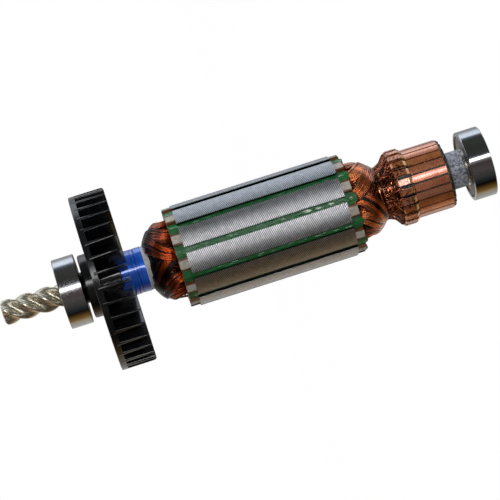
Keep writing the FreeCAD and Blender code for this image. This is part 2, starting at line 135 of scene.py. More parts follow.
@dataclass(frozen=True)
class Grain:
    """Noise that mixes the two colours of a finish: a fine one, and perhaps a broad one over it."""

    # Values of the mix at which the first colour ends and the second is full
    edge: tuple[float, float]
    detail: float = 2.0
    # Less than 1 draws the fine noise out along the shaft
    along: float = 1.0
    # Size of the broad noise, in grains, its detail and its share of the mix
    broad: float = 1.0
    broad_detail: float = 2.0
    broad_share: float = 0.0


class Pattern(Enum):
    """How a finish varies over its surface."""

    # Lines left by turning or grinding: they run round the shaft and differ along it
    TURNED = Grain((0.35, 0.65), detail=3.0, broad=12, broad_share=0.4)
    # Slanted lines across the core's teeth, over a faint pile of sheets
    HATCHED = Grain((0.1, 1.05))
    # Dark flecks of several sizes in a pale moulding
    SPECKLED = Grain((0.42, 0.6), broad=2.2, broad_detail=4.0, broad_share=0.55)
    # Even grain of a plastic moulding, with broad soft marks where it is rubbed
    MOULDED = Grain((0.35, 0.7), detail=3.0, broad=15, broad_detail=3.0, broad_share=1.0)
    # Glossy runs of varnish between dull ones, longer along the shaft than across it
    VARNISHED = Grain((0.42, 0.5), detail=3.0, along=0.45)
    # One shade for each wire, which in the winding heads also holds painted shade, broken by patches of
    # baked varnish
    STRANDED = Grain((0.45, 1.45))
    # Short fibres pressed flat, lying mostly along the shaft
    FIBROUS = Grain((0.35, 0.65), detail=5.0, along=0.3)


@dataclass(frozen=True)
class Stain:
    """A further colour on part of a finish: between heights, between radii and in patches."""

    colour: str
    above_mm: float | None = None
    below_mm: float | None = None
    outside_mm: float | None = None
    inside_mm: float | None = None
    # Width of the patches, and the values of the noise at which they fade in
    patch_mm: float | None = None
    patch_edge: tuple[float, float] = (0.5, 0.6)
    patch_detail: float = 3.0
    # How far the limits along the shaft wander, and over what width
    wander_mm: float = 0.0
    wander_width_mm: float = 1.0

    def cover(self, tree: Tree, where: Feed) -> Feed:
        """Build the cover.

        Args:
            tree: The material's node tree.
            where: Object coordinates of the surface.

        Returns:
            1 where the stain covers the surface, 0 where the surface is bare.
        """
        height, radius = round_the_shaft(tree, where)[1:]
        if self.wander_mm:
            blur = add_node(tree, NOISE, {"Vector": where, "Scale": 1 / (self.wander_width_mm * MM)})
            height = add_node(tree, MATHS, {0: blur, 1: self.wander_mm * MM, 2: height,
                                            "operation": "MULTIPLY_ADD"})
        # The noise lies about 0.5, so the limits move by half of the wander
        shift = self.wander_mm / 2
        factors = []
        for value, operation, limit, offset in (
                (height, "GREATER_THAN", self.above_mm, shift), (height, "LESS_THAN", self.below_mm, shift),
                (radius, "GREATER_THAN", self.outside_mm, 0.0), (radius, "LESS_THAN", self.inside_mm, 0.0)):
            if limit is not None:
                factors.append(add_node(tree, MATHS, {0: value, 1: (limit + offset) * MM,
                                                      "operation": operation}))
        if self.patch_mm is not None:
            low, high = self.patch_edge
            blur = add_node(tree, NOISE, {"Vector": where, "Scale": 1 / (self.patch_mm * MM),
                                          "Detail": self.patch_detail})
            factors.append(add_node(tree, STRETCH, {"Value": blur, "From Min": low, "From Max": high}))
        share = factors[0]
        for factor in factors[1:]:
            share = add_node(tree, MATHS, {0: share, 1: factor, "operation": "MULTIPLY"})
        return share


@dataclass(frozen=True)
class Finish:
    """A finish: a principled surface with a two-colour pattern, a fine relief and perhaps stains."""

    name: str
    tint: str
    shade: str
    pattern: Pattern
    grain_mm: float
    relief_mm: float
    metallic: float = 0.0
    roughness: float = 0.5
    # How far the roughness swings with the pattern
    swing: float = 0.0
    ior: float = 1.5
    coat: float = 0.0
    coat_roughness: float = 0.03
    coat_ior: float = 1.5
    stains: tuple[Stain, ...] = ()

    def make(self) -> Material:
        """Build the material.

        Returns:
            A node material with the colour, roughness and relief of the finish.
        """
        material = bpy.data.materials.new(self.name)
        material.use_nodes = True
        tree = material.node_tree
        shader = tree.nodes["Principled BSDF"]
        shader.inputs["Metallic"].default_value = self.metallic
        shader.inputs["Coat Weight"].default_value = self.coat
        shader.inputs["Coat Roughness"].default_value = self.coat_roughness
        shader.inputs["Coat IOR"].default_value = self.coat_ior
        # A metal keeps the default IOR
        if self.metallic < 0.5:
            shader.inputs["IOR"].default_value = self.ior
        where = add_node(tree, "ShaderNodeTexCoord").outputs["Object"]
        share, height = self.variation(tree, where)
        shown = add_node(tree, MIX, {"Fac": share, "Color1": srgb(self.tint), "Color2": srgb(self.shade)})
        for stain in self.stains:
            shown = add_node(tree, MIX, {"Fac": stain.cover(tree, where), "Color1": shown,
                                         "Color2": srgb(stain.colour)})
        rough = add_node(tree, STRETCH, {"Value": share, "To Min": self.roughness - self.swing,
                                         "To Max": self.roughness + self.swing})
        bump = add_node(tree, "ShaderNodeBump", {"Height": height, "Distance": self.relief_mm * MM,
                                                 "Strength": 1.0})
        for name, node in (("Base Color", shown), ("Roughness", rough), ("Normal", bump)):
            tree.links.new(node.outputs[0], shader.inputs[name])
        return material

    def variation(self, tree: Tree, where: Feed) -> tuple[Feed, Feed]:
        """Build the pattern.

        Args:
            tree: The material's node tree.
            where: Object coordinates of the surface.

        Returns:
            The share of the second colour, from 0 to 1, and the relief's height.
        """
        makers = {Pattern.HATCHED: self.hatched, Pattern.STRANDED: self.stranded}
        mixed, relief = makers.get(self.pattern, self.grained)(tree, where)
        low, high = self.pattern.value.edge
        return add_node(tree, STRETCH, {"Value": mixed, "From Min": low, "From Max": high}), relief

    def grained(self, tree: Tree, where: Feed) -> tuple[Feed, Feed]:
        """Build noise, drawn out round the shaft or along it.

        Args:
            tree: The material's node tree.
            where: Object coordinates of the surface.

        Returns:
            The mix of the fine and the broad noise, and the fine noise as the relief.
        """
        grain = self.pattern.value
        if self.pattern is Pattern.TURNED:
            # How far the noise moves for each radian, so that no line is the same all round
            drift_mm = 2
            angle, height, radius = round_the_shaft(tree, where)
            slow = add_node(tree, MATHS, {0: angle, 1: drift_mm * MM, "operation": "MULTIPLY"})
            place = add_node(tree, "ShaderNodeCombineXYZ", {0: slow, 1: height, 2: radius})
        else:
            place = add_node(tree, "ShaderNodeMapping", {"Vector": where, "Scale": (1.0, 1.0, grain.along)})
        fine = add_node(tree, NOISE, {"Vector": place, "Scale": 1 / (self.grain_mm * MM),
                                      "Detail": grain.detail})
        if not grain.broad_share:
            return fine, fine
        broad_mm = self.grain_mm * grain.broad
        broad = add_node(tree, NOISE, {"Vector": where, "Scale": 1 / (broad_mm * MM),
                                       "Detail": grain.broad_detail})
        return add_node(tree, "ShaderNodeMix", {"Factor": grain.broad_share, "A": fine, "B": broad}), fine

    def hatched(self, tree: Tree, where: Feed) -> tuple[Feed, Feed]:
        """Build slanted lines at 45 degrees to the shaft over a faint pile of sheets.

        Args:
            tree: The material's node tree.
            where: Object coordinates of the surface.

        Returns:
            The mix of lines and patches, and the relief.
        """
        wander_mm = 0.35
        wander_width_mm = 2.2
        sheet_mm = 0.35
        patch_mm = 1.3
        angle, height, radius = round_the_shaft(tree, where)
        slant = add_node(tree, MATHS, {0: angle, 1: radius, 2: height, "operation": "MULTIPLY_ADD"})
        blur = add_node(tree, NOISE, {"Vector": where, "Scale": 1 / (wander_width_mm * MM)})
        bent = add_node(tree, MATHS, {0: blur, 1: wander_mm * MM, 2: slant, "operation": "MULTIPLY_ADD"})
        # Arc and height together grow by the square root of 2 across the lines
        waves = FULL_TURN * math.sqrt(0.5) / (self.grain_mm * MM)
        turns = add_node(tree, MATHS, {0: bent, 1: waves, "operation": "MULTIPLY"})
        wave = add_node(tree, MATHS, {0: turns, "operation": "SINE"})
        lines = add_node(tree, MATHS, {0: wave, 1: 0.6, 2: 0.5, "operation": "MULTIPLY_ADD"})
        level = add_node(tree, "ShaderNodeCombineXYZ", {2: height})
        sheets = add_node(tree, NOISE, {"Vector": level, "Scale": 1 / (sheet_mm * MM)})
        patchy = add_node(tree, NOISE, {"Vector": where, "Scale": 1 / (patch_mm * MM), "Detail": 4.0})
        mixed = add_node(tree, MATHS, {0: patchy, 1: 0.7, 2: lines, "operation": "MULTIPLY_ADD"})
        stack = add_node(tree, MATHS, {0: sheets, 1: 0.3, "operation": "MULTIPLY"})
        return mixed, add_node(tree, MATHS, {0: wave, 1: -0.5, 2: stack, "operation": "MULTIPLY_ADD"})

    def stranded(self, tree: Tree, where: Feed) -> tuple[Feed, Feed]:
        """Build a shade for each wire, which in the winding heads also holds painted shade, broken by
        patches of baked varnish.

        Args:
            tree: The material's node tree.
            where: Object coordinates of the surface.

        Returns:
            The shade with the patches, and the patches as the relief.
        """
        strand = add_node(tree, "ShaderNodeAttribute", {"attribute_name": "strand"}).outputs["Fac"]
        patches = add_node(tree, NOISE, {"Vector": where, "Scale": 1 / (self.grain_mm * MM)})
        return add_node(tree, MATHS, {0: patches, 1: 0.9, 2: strand, "operation": "MULTIPLY_ADD"}), patches


# Hardened and ground steel, a little yellow from heat and oil, with painted shade in the gap beside the
# fan's collar
SHAFT_STEEL = Finish("hardened_shaft_steel", "#e6dfcc", "#b4ab96", Pattern.TURNED, grain_mm=0.5,
                     relief_mm=0.004, metallic=0.9, roughness=0.34, swing=0.05,
                     # Near-black band: painted shade in the gap between the bearing and the fan's collar
                     stains=(Stain("#0b0b0c", above_mm=129.4, below_mm=130.9),))
# Polished bearing steel: sharp reflections with faint grinding lines
BEARING_STEEL = Finish("polished_bearing_steel", "#bcbdc0", "#a9aaad", Pattern.TURNED, grain_mm=0.12,
                       relief_mm=0.0012, metallic=1.0, roughness=0.17, swing=0.03)
# The same steel, lapped nearly to a mirror, on the ring at the commutator end
LAPPED_STEEL = Finish("lapped_bearing_steel", "#b0b2b6", "#a2a4a8", Pattern.TURNED, grain_mm=0.12,
                      relief_mm=0.0008, metallic=1.0, roughness=0.07, swing=0.02)
# Pressed shield sheet: dull, brown from grease
SHIELD_STEEL = Finish("pressed_shield_steel", "#8d837b", "#6b625b", Pattern.TURNED, grain_mm=0.4,
                      relief_mm=0.003, metallic=0.7, roughness=0.4, swing=0.06)
# Glass-filled nylon: satin black with a fine grain
FAN_NYLON = Finish("glass_filled_nylon", "#0b0c0e", "#121316", Pattern.MOULDED, grain_mm=0.25,
                   relief_mm=0.008, roughness=0.18, swing=0.04, ior=1.6)
# Moulded insulation: blue-grey with dark flecks, its neck beside the blue sleeve pale and fluffy
SPECKLED_MOULDING = Finish("speckled_moulding", "#b4b8c2", "#5c606e", Pattern.SPECKLED, grain_mm=0.45,
                           relief_mm=0.05, roughness=0.5, swing=0.08,
                           stains=(Stain("#b4b4b2", above_mm=100.0, patch_mm=0.5, patch_edge=(0.2, 0.5)),))
# Height and half width of the creases that run round the film sleeve
CREASES_MM = ((113.1, 0.13), (112.15, 0.05), (114.2, 0.06), (116.0, 0.05))
# Polyester film: glossy, deep blue, with painted shade along its creases that wanders a little
BLUE_FILM = Finish("polyester_film", "#0064e4", "#004cb8", Pattern.MOULDED, grain_mm=0.5, relief_mm=0.03,
                   metallic=0.25, roughness=0.3, swing=0.04, coat=1.0, coat_roughness=0.09, coat_ior=1.6,
                   # Dark blue along each crease: painted shade in the crease
                   stains=tuple(Stain("#02112e", above_mm=place - width, below_mm=place + width,
                                      wander_mm=0.5, wander_width_mm=3.0) for place, width in CREASES_MM))
# Ground edges of silicon steel sheets, bright outside, with painted shade in the slot mouths
CORE_STEEL = Finish("ground_silicon_steel", "#fafbff", "#7c7e84", Pattern.HATCHED, grain_mm=0.52,
                    relief_mm=0.055, metallic=1.0, roughness=0.34, swing=0.04,
                    # Near black inside the slot mouths: painted shade on the walls of the openings
                    stains=(Stain("#0c0f0c", inside_mm=15.75),))
# Pressed fibre of the end plates, grey and dry, its fibres drawn coarser than real ones
END_FIBRE = Finish("pressed_fibre", "#b8b3a8", "#8f897c", Pattern.FIBROUS, grain_mm=0.3, relief_mm=0.03,
                   roughness=0.6, swing=0.05)
# Slot paper, brown with baked varnish, its fibres drawn as coarse
SLOT_PAPER = Finish("varnished_paper", "#744626", "#40240f", Pattern.FIBROUS, grain_mm=0.35, relief_mm=0.03,
                    roughness=0.42, swing=0.05)
# Slot wedge, green under clear varnish with drops on it
WEDGE_VARNISH = Finish("varnished_wedge", "#1a662c", "#115024", Pattern.VARNISHED, grain_mm=1.0,
                       relief_mm=0.09, roughness=0.34, swing=0.28, ior=1.7)
# Drops of the same varnish, clear and very glossy
VARNISH_DROP = Finish("varnish_drop", "#2c7044", "#1a5a30", Pattern.MOULDED, grain_mm=0.4, relief_mm=0.0,
                      roughness=0.12, swing=0.02, coat=1.0, coat_ior=1.7)
# Enamelled copper wire with baked varnish, painted darker as the shaded copy at the fan end
DARK_ENAMEL = Finish("shaded_enamelled_copper", "#e0601c", "#160502", Pattern.STRANDED, grain_mm=2.6,
                     relief_mm=0.0, metallic=0.9, roughness=0.22, swing=0.05, coat=0.5, coat_roughness=0.06)
# The same wire at the commutator end, painted brighter as the lit copy
BRIGHT_ENAMEL = Finish("enamelled_copper", "#f88840", "#200804", Pattern.STRANDED, grain_mm=2.0,
                       relief_mm=0.0, metallic=0.9, roughness=0.2, swing=0.05, coat=0.9, coat_roughness=0.06)
# Leads soldered to the hooks: the enamel is burnt away in places
LEAD_ENAMEL = Finish("lead_copper", "#d9805a", "#401608", Pattern.STRANDED, grain_mm=1.0, relief_mm=0.0,
                     metallic=0.85, roughness=0.28, swing=0.06)
# Black moulding of the commutator, slightly green, its small ridges between the bars rubbed to olive
PHENOLIC = Finish("moulded_phenolic", "#1c201b", "#2c3028", Pattern.MOULDED, grain_mm=0.3, relief_mm=0.02,
                  roughness=0.4, swing=0.06, stains=(Stain("#57523a", outside_mm=10.63, below_mm=14.3),))
# Cage of the bearings, yellowish nylon
CAGE_NYLON = Finish("cage_nylon", "#b0a070", "#94855a", Pattern.MOULDED, grain_mm=0.3, relief_mm=0.01,
                    roughness=0.45, swing=0.05)


@dataclass(frozen=True)
class BarCopper:
    """Turned commutator copper in a few tints, with the varnish that is baked on its hooks and painted shade
    round their feet.
    """

    tints: tuple[tuple[str, str], ...] = (("#e69c78", "#bc7250"), ("#e0926a", "#b06240"),
                                          ("#d68a72", "#aa5e4a"), ("#e4925c", "#b66634"))
    # Radius past which only the hooks stand, and the heights of a hook's foot and tip
    face_r_mm: float = 10.98
    foot_mm: float = 25.2
    tip_mm: float = 26.3

    def finishes(self) -> list[Material]:
        """Build one material for each shade.

        Returns:
            The materials, in the order of the shades.
        """
        # Marks of heat, crust and drops on the hooks, amber on their tips, and painted shade under the hooks
        # round their feet
        stains = (Stain("#5c3020", patch_mm=1.6, patch_edge=(0.66, 0.78)),
                  Stain("#4a2210", outside_mm=self.face_r_mm, patch_mm=0.7, patch_edge=(0.5, 0.6)),
                  Stain("#c07a22", outside_mm=self.face_r_mm, patch_mm=0.9, patch_edge=(0.56, 0.64)),
                  Stain("#d09a34", outside_mm=self.face_r_mm, below_mm=self.tip_mm, wander_mm=1.2,
                        patch_mm=1.3, patch_edge=(0.44, 0.54), patch_detail=2.0),
                  # Near black under the hooks: painted shade
                  Stain("#140a06", inside_mm=self.face_r_mm, above_mm=self.foot_mm, wander_mm=1.2))
        return [Finish(f"turned_copper_{number}", tint, shade, Pattern.TURNED, grain_mm=0.35,
                       relief_mm=0.004, metallic=0.65, roughness=0.28, swing=0.05, coat=1.0,
                       coat_roughness=0.07, stains=stains).make()
                for number, (tint, shade) in enumerate(self.tints, 1)]


def new_object(name: str, vertices: np.ndarray, faces: Faces, material: Material,
               smooth: bool = True) -> Piece:
    """Make an object from its vertices in millimetres.

    Args:
        name: Name of the piece.
        vertices: Points as rows of x, y and z, in millimetres.
        faces: Corner numbers of each face.
        material: Finish of the piece.
        smooth: Whether the faces are shaded smooth.

    Returns:
        The object, linked to the scene.
    """
    mesh = bpy.data.meshes.new(name)
    mesh.from_pydata((np.asarray(vertices) * MM).tolist(), [], faces)
    mesh.polygons.foreach_set("use_smooth", [smooth] * len(mesh.polygons))
    mesh.materials.append(material)
    mesh.validate()
    piece = bpy.data.objects.new(name, mesh)
    bpy.context.scene.collection.objects.link(piece)
    return piece


def shade_strands(piece: Piece, shades: np.ndarray) -> None:
    """Give each point of a piece its shade, from 0, bright, to 1, dark, which a stranded finish reads."""
    strand = piece.data.attributes.new("strand", "FLOAT", "POINT")
    strand.data.foreach_set("value", shades.astype(np.float32))


def about_shaft(radius: np.ndarray, angle: np.ndarray, height: np.ndarray) -> np.ndarray:
    """Points from their radius, angle and height about the shaft, which may be of unlike shapes."""
    return np.stack(np.broadcast_arrays(radius * np.cos(angle), radius * np.sin(angle), height), -1)


def turned_by(points: np.ndarray, degrees: float) -> np.ndarray:
    """Turn points about the shaft.

    Args:
        points: Rows of x, y and z.
        degrees: How far they are turned.

    Returns:
        The turned points.
    """
    a = math.radians(degrees)
    turn = np.array([[math.cos(a), -math.sin(a), 0], [math.sin(a), math.cos(a), 0], [0, 0, 1]])
    return points @ turn.T


def bands(count: int, rings: int, start: int = 0, closed: bool = False) -> Faces:
    """Join rings of points that follow each other by faces.

    Args:
        count: Points in each ring.
        rings: How many rings there are.
        start: Number of the first point.
        closed: Whether the last ring meets the first again.

    Returns:
        The faces.
    """
    faces = []
    for ring in range(rings if closed else rings - 1):
        here, there = start + ring * count, start + (ring + 1) % rings * count
        for j in range(count):
            k = (j + 1) % count
            faces.append((here + j, here + k, there + k, there + j))
    return faces


def rounded_outline(corners: Outline, radii: list[float], steps: int = 3) -> Outline:
    """Round the corners of a closed outline.

    Args:
        corners: Corner points in order.
        radii: Rounding of each corner, 0 for a sharp one.
        steps: Pieces in each rounded corner.

    Returns:
        The outline's points.
    """
    points = []
    for index, (corner, radius) in enumerate(zip(corners, radii)):
        here = Vector(corner)
        if radius <= 0:
            points.append(tuple(here))
            continue
        before = (Vector(corners[index - 1]) - here).normalized() * radius
        after = (Vector(corners[(index + 1) % len(corners)]) - here).normalized() * radius
        for step in range(steps + 1):
            t = step / steps
            points.append(tuple(here + before * (1 - t) ** 2 + after * t ** 2))
    return points


def lathe(outline: Outline, steps: int) -> tuple[np.ndarray, Faces]:
    """Turn a closed outline of radius and height about the shaft.

    Args:
        outline: Points as radius and height, in millimetres.
        steps: Facets round the shaft.

    Returns:
        The vertices and the faces.
    """
    ring = np.array(outline)
    angles = np.arange(steps) * FULL_TURN / steps
    vertices = about_shaft(ring[:, 0], angles[:, None], ring[:, 1]).reshape(-1, 3)
    # The rings follow each other round the shaft, so their faces are turned over to look outwards
    return vertices, [(a, d, c, b) for a, b, c, d in bands(len(ring), steps, closed=True)]


def sweep_wires(paths: list[np.ndarray], radius: float, sides: int) -> tuple[np.ndarray, Faces]:
    """Sweep round wires along their paths.

    Args:
        paths: One array of points for each wire, in millimetres.
        radius: Radius of the wire in millimetres.
        sides: Facets round the wire.

    Returns:
        The vertices and the faces.
    """
    vertices, faces = [], []
    start = 0
    turns = np.arange(sides) * FULL_TURN / sides
    # A way in which no wire sets off
    aside = (0.3, 0.5, 0.81)
    for path in paths:
        tangents = np.gradient(path, axis=0)
        tangents /= np.linalg.norm(tangents, axis=1)[:, None]
        side = np.cross(tangents[0], aside)
        for point, tangent in zip(path, tangents):
            side = side - tangent * (side @ tangent)
            side = side / np.linalg.norm(side)
            other = np.cross(tangent, side)
            circle = np.outer(np.cos(turns), side) + np.outer(np.sin(turns), other)
            vertices.append(point + radius * circle)
        faces += bands(sides, len(path), start)
        faces.append(tuple(start + j for j in reversed(range(sides))))
        start += len(path) * sides
        faces.append(tuple(start - sides + j for j in range(sides)))
    return np.concatenate(vertices), faces


def wire_piece(name: str, paths: list[np.ndarray], radius: float, material: Material,
               shades: list[np.ndarray]) -> Piece:
    """Make one piece of many wires, each shaded along its length.

    Args:
        name: Name of the piece.
        paths: One array of points for each wire, in millimetres.
        radius: Radius of the wire in millimetres.
        material: Finish of the wires.
        shades: For each wire, a number from 0, bright, to 1, dark, at each of its points.

    Returns:
        The piece.
    """
    sides = 6
    vertices, faces = sweep_wires(paths, radius, sides)
    piece = new_object(name, vertices, faces, material)
    shade_strands(piece, np.repeat(np.concatenate(shades), sides))
    return piece


@dataclass
class WindingHead:
    """One winding head: bundles of wire that cross from slot to slot over the end of the core."""

    name: str
    node: str
    outward: int
    rises: tuple[float, ...]
    radii: tuple[float, ...]
    finish: Finish
    # Painted shade that deepens as a bundle climbs away from the core, towards the fan or the neck
    painted_climb_shade: float
    seed: int
    # How far out each coil lies, from 0, first wound, to 1, last; coil 0 starts at the slot in front
    layers: tuple[float, ...] = (1.0, 0.86, 0.72, 0.5, 0.58, 0.66, 0.8, 0.94, 0.22, 0.1, 0.0, 0.3)
    first_slot_deg: float = -84.5
    slots: int = 12
    coil_span_deg: float = 150.0
    # Two wires are drawn as one strand, so that the strands show
    wire_r: float = 0.29
    # First wound coils lie at the bottom of their slots, last wound coils on top of them
    slot_r: tuple[float, float] = (10.2, 12.5)
    slot_columns: int = 9
    slot_width: float = 3.2
    slot_depth: float = 1.1
    bundle_width: float = 5.3
    bundle_rows: int = 2
    bundle_depth: float = 0.85
    # Depth of the first wound coils under the last ones, and the share of it that is left at the neck
    pile: float = 1.9
    neck_pile: float = 0.45
    # How far the middle of a bundle stands up, and how far its wires waver
    crown: float = 0.45
    wobble: float = 0.05
    # Powers of the climb by which a bundle rises, leaves its slot's depth and swells to its full width
    rise_power: float = 0.62
    sink_power: float = 0.5
    swell_power: float = 0.7
    # Shades of the strands: most are bright, some lie dark under old varnish
    strand_shades: tuple[float, ...] = (-0.15, 0.0, 0.25, 0.7)
    # What is added: for each coil at random, as painted shade for its depth under later coils, and, in place
    # of all, as painted shade on the wire inside
    coil_shades: tuple[float, float] = (0, 0.3)
    painted_depth_shade: float = 0.5
    painted_dome_shade: float = 1.6
    top_share: float = 0.97
    # How far towards the neck the first wound coils reach past the last ones, as a share of what is left
    neck_reach: float = 0.9
    core_r: float = 6.9
    dome_gap: float = 0.1
    dome_rings: int = 14
    dome_steps: int = 72
    points: int = 28
    # Share of the way over which the form's slope is taken
    slope_share: float = 0.06

    def foot(self) -> float:
        """Height of the end plate's outer face, in millimetres."""
        low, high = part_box(self.node)
        return (low.z if self.outward > 0 else high.z) / MM

    def surface(self, share: np.ndarray, angle: np.ndarray) -> tuple[np.ndarray, np.ndarray]:
        """Find points and outward normals on the head's outer form.

        Args:
            share: Way from the foot to the top, from 0 to 1.
            angle: Angle about the shaft, in radians.

        Returns:
            The points in millimetres and the unit normals.
        """
        steps = np.hypot(np.diff(self.rises), np.diff(self.radii))
        way = np.concatenate([[0], np.cumsum(steps)]) / steps.sum()

        def slope(values: tuple[float, ...]) -> np.ndarray:
            """How much a list of values changes about each share of the way."""
            return (np.interp(share + self.slope_share, way, values)
                    - np.interp(share - self.slope_share, way, values))

        climb, spread = slope(self.rises), slope(self.radii)
        length = np.hypot(climb, spread)
        height = self.foot() + self.outward * np.interp(share, way, self.rises)
        point = about_shaft(np.interp(share, way, self.radii), angle, height)
        return point, about_shaft(climb / length, angle, -self.outward * spread / length)

    def bundle(self, coil: int, rng: np.random.Generator) -> list[np.ndarray]:
        """Lay the wires of one bundle.

        Args:
            coil: Number of the coil; later coils lie outside the earlier ones.
            rng: Source of the small differences between wires.

        Returns:
            One array of points for each wire.
        """
        level = self.layers[coil]
        t = np.linspace(0, 1, self.points)
        climb = np.sin(np.pi * t)
        angle = np.radians(self.first_slot_deg + coil * 360 / self.slots + self.coil_span_deg * t)
        reach = self.top_share + (1 - self.top_share) * self.neck_reach * (1 - level)
        point, normal = self.surface(reach * climb ** self.rise_power, angle)
        bottom, top = self.slot_r
        slot_sink = self.radii[0] - bottom - (top - bottom) * level
        depth = (1 - level) * self.pile * (1 - (1 - self.neck_pile) * climb ** 2)
        sink = slot_sink + (self.bundle_depth + depth - slot_sink) * climb ** self.sink_power
        centre = point - normal * sink[:, None]
        tangent = np.gradient(centre, axis=0)
        tangent /= np.linalg.norm(tangent, axis=1)[:, None]
        across = np.cross(tangent, normal)
        across /= np.linalg.norm(across, axis=1)[:, None]
        swell = climb ** self.swell_power
        paths = []
        for wire in range(self.slot_columns * self.bundle_rows):
            column, row = divmod(wire, self.bundle_rows)
            # Place across the bundle and in its depth, from -0.5 to 0.5
            place = column / (self.slot_columns - 1) - 0.5
            layer = row - 0.5
            slot_side = place * self.slot_width
            head_side = place * self.bundle_width
            slot_deep = layer * self.slot_depth
            head_deep = layer * 2 * self.wire_r + (1 - (2 * place) ** 2) * self.crown
            wobble, lift = (self.wobble * climb
                            * np.sin(np.pi * t * rng.uniform(1, 2) + rng.uniform(*PHASES))
                            for _ in range(2))
            side = slot_side + (head_side - slot_side) * swell + wobble
            deep = slot_deep + (head_deep - slot_deep) * swell + lift
            paths.append(centre + across * side[:, None] + normal * deep[:, None])
        return paths

    def core_dome(self, material: Material) -> Piece:
        """Build the inner mass of wire under the outer bundles, painted dark as shade.

        Args:
            material: Finish of the wires.

        Returns:
            The piece.
        """
        share = np.linspace(0, 1, self.dome_rings)
        point, normal = self.surface(share, np.zeros_like(share))
        inner = point - normal * (self.pile * (1 - share) + self.bundle_depth)[:, None]
        outline = [(max(p[0], self.core_r + self.dome_gap), p[2]) for p in inner]
        outline += [(self.core_r, outline[-1][1]), (self.core_r, outline[0][1])]
        vertices, faces = lathe(outline, self.dome_steps)
        piece = new_object(f"{self.name}_inner_turns", vertices, faces, material)
        # The inner turns are painted fully dark: painted shade under the bundles
        shade_strands(piece, np.full(len(vertices), self.painted_dome_shade))
        return piece

    def build(self) -> list[Piece]:
        """Build the head's pieces, which stand for the plain solid.

        Returns:
            The pieces.
        """
        rng = np.random.default_rng(self.seed)
        material = self.finish.make()
        paths, shades = [], []
        climb = np.sin(np.pi * np.linspace(0, 1, self.points))
        for coil in range(self.slots):
            # Random tone for each coil, with painted shade for coils lying deep under later ones
            base = rng.uniform(*self.coil_shades) + self.painted_depth_shade * (1 - self.layers[coil])
            for path in self.bundle(coil, rng):
                paths.append(path)
                # Random tone for each wire, with painted shade growing along its climb
                shades.append(base + rng.choice(self.strand_shades) + self.painted_climb_shade * climb)
        coils = wire_piece(f"{self.name}_coils", paths, self.wire_r, material, shades)
        pieces = [coils, self.core_dome(material)]
        for piece in pieces:
            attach(piece, "rotor")
        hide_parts(self.node)
        return pieces


@dataclass
class Waist:
    """Turns of wire bound round the commutator head's waist, under the leads."""

    head: WindingHead
    turns: int = 46
    wire_r: float = 0.24
    rises: tuple[float, float] = (8.6, 13.4)
    # How far along the shaft and how far round it a turn runs, and its waves
    run: float = 2.6
    span_deg: tuple[float, float] = (110, 200)
    wave: float = 0.12
    # How deep a turn lies under the head's form, and how much deeper its ends are tucked
    sunk: tuple[float, float] = (0.25, 0.8)
    tuck: float = 0.5
    shades: tuple[float, ...] = (0.1, 0.7, 1.0)
    points: int = 26
    seed: int = 9

    def build(self) -> Piece:
        """Build the turns as one piece.

        Returns:
            The piece.
        """
        rng = np.random.default_rng(self.seed)
        paths, shades = [], []
        t = np.linspace(0, 1, self.points)
        for _ in range(self.turns):
            begin = rng.uniform(*self.rises)
            end = np.clip(begin + rng.uniform(-self.run, self.run), *self.rises)
            rise = begin + (end - begin) * t + self.wave * np.sin(FULL_TURN * t + rng.uniform(*PHASES))
            angle = rng.uniform(0, FULL_TURN) + np.radians(rng.uniform(*self.span_deg)) * t
            under = np.interp(rise, self.head.rises, self.head.radii)
            radius = under - rng.uniform(*self.sunk) - self.tuck * (1 - np.sin(np.pi * t)) ** 2
            paths.append(about_shaft(radius, angle, self.head.foot() - rise))
            shades.append(np.full(len(t), rng.choice(self.shades)))
        piece = wire_piece("commutator_head_waist", paths, self.wire_r, self.head.finish.make(), shades)
        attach(piece, "rotor")
        return piece


